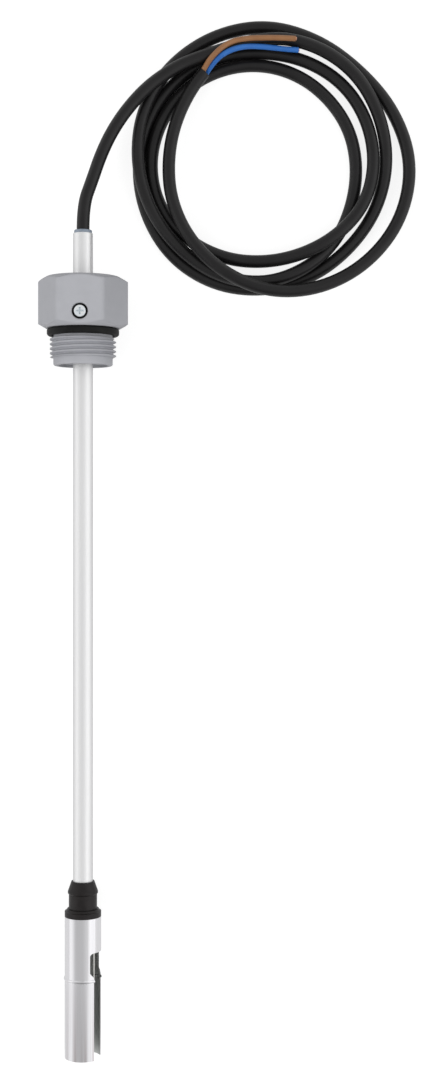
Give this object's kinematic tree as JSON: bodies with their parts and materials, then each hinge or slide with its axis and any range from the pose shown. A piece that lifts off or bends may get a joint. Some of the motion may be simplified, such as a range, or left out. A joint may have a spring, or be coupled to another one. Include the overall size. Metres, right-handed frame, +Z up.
{
  "type": "level limit sensor",
  "caption": "Tank level limit sensor: thin probe tube with a slotted sensor sleeve at its tip, a sliding hexagonal screw-in body clamped by a screw, and a coiled two-core cable.",
  "frame": {"origin": "on the table, at the middle of the sensor's bounding box without its free cable", "axes": "the probe lies along Y with its cable end towards +Y and its sensor sleeve towards -Y, +Z up, the clamp screw on top"},
  "size_m": [0.192, 0.5281, 0.0407],
  "materials": {
    "satin_aluminium": "satin, drawn",
    "grey_plastic": "moulded, matt",
    "plated_steel": "bright nickel plate",
    "zinc_steel": "zinc plate",
    "black_rubber": "matt",
    "grey_rubber": "matt",
    "black_plastic": "moulded, matt",
    "cable_sheath": "soft satin",
    "brown_insulation": "satin",
    "blue_insulation": "satin",
    "sealing_resin": "matt",
    "brass": "machined",
    "tinned_brass": "tinned",
    "thermistor_glaze": "glazed"
  },
  "bodies": {
    "probe": {"probe_tube": "satin_aluminium", "cable_grommet": "grey_rubber", "cable_in_tube": "cable_sheath", "cable_lead": "cable_sheath", "cable_coil": "cable_sheath", "cable_tail": "cable_sheath", "brown_core_tail": "brown_insulation", "blue_core_tail": "blue_insulation", "brown_inner_core": "brown_insulation", "blue_inner_core": "blue_insulation", "tube_potting": "sealing_resin", "probe_bush": "black_plastic", "sensor_sleeve": "plated_steel", "sensor_header": "black_plastic", "brown_terminal_pin": "tinned_brass", "blue_terminal_pin": "tinned_brass", "brown_crimp_ferrule": "tinned_brass", "blue_crimp_ferrule": "tinned_brass", "thermistor_bead": "thermistor_glaze", "thermistor_wires": "tinned_brass"},
    "screw_in_fitting": {"screw_in_body": "grey_plastic", "body_seal_ring": "black_rubber", "tube_seal_ring": "black_rubber", "clamp_washer": "black_rubber"},
    "clamp_pad": {"clamp_pad": "brass"},
    "clamp_screw": {"clamp_screw": "zinc_steel"}
  },
  "joints": [
    {"name": "depth_slide", "type": "slide", "parent": "probe", "child": "screw_in_fitting", "axis": [0, -0.9996, -0.029], "range_m": [-0.02, 0.255]},
    {"name": "pad_travel", "type": "slide", "parent": "screw_in_fitting", "child": "clamp_pad", "axis": [0, -0.029, 0.9996], "range_m": [0, 0.0014]},
    {"name": "screw_turn", "type": "hinge", "parent": "clamp_pad", "child": "clamp_screw", "pos_m": [0, 0.16605, 0.04015], "axis": [0, -0.029, 0.9996], "range_deg": [0, 720]}
  ],
  "couplings": [
    {"joint": "screw_turn", "follows": "pad_travel", "rad_per_m": 8976}
  ]
}
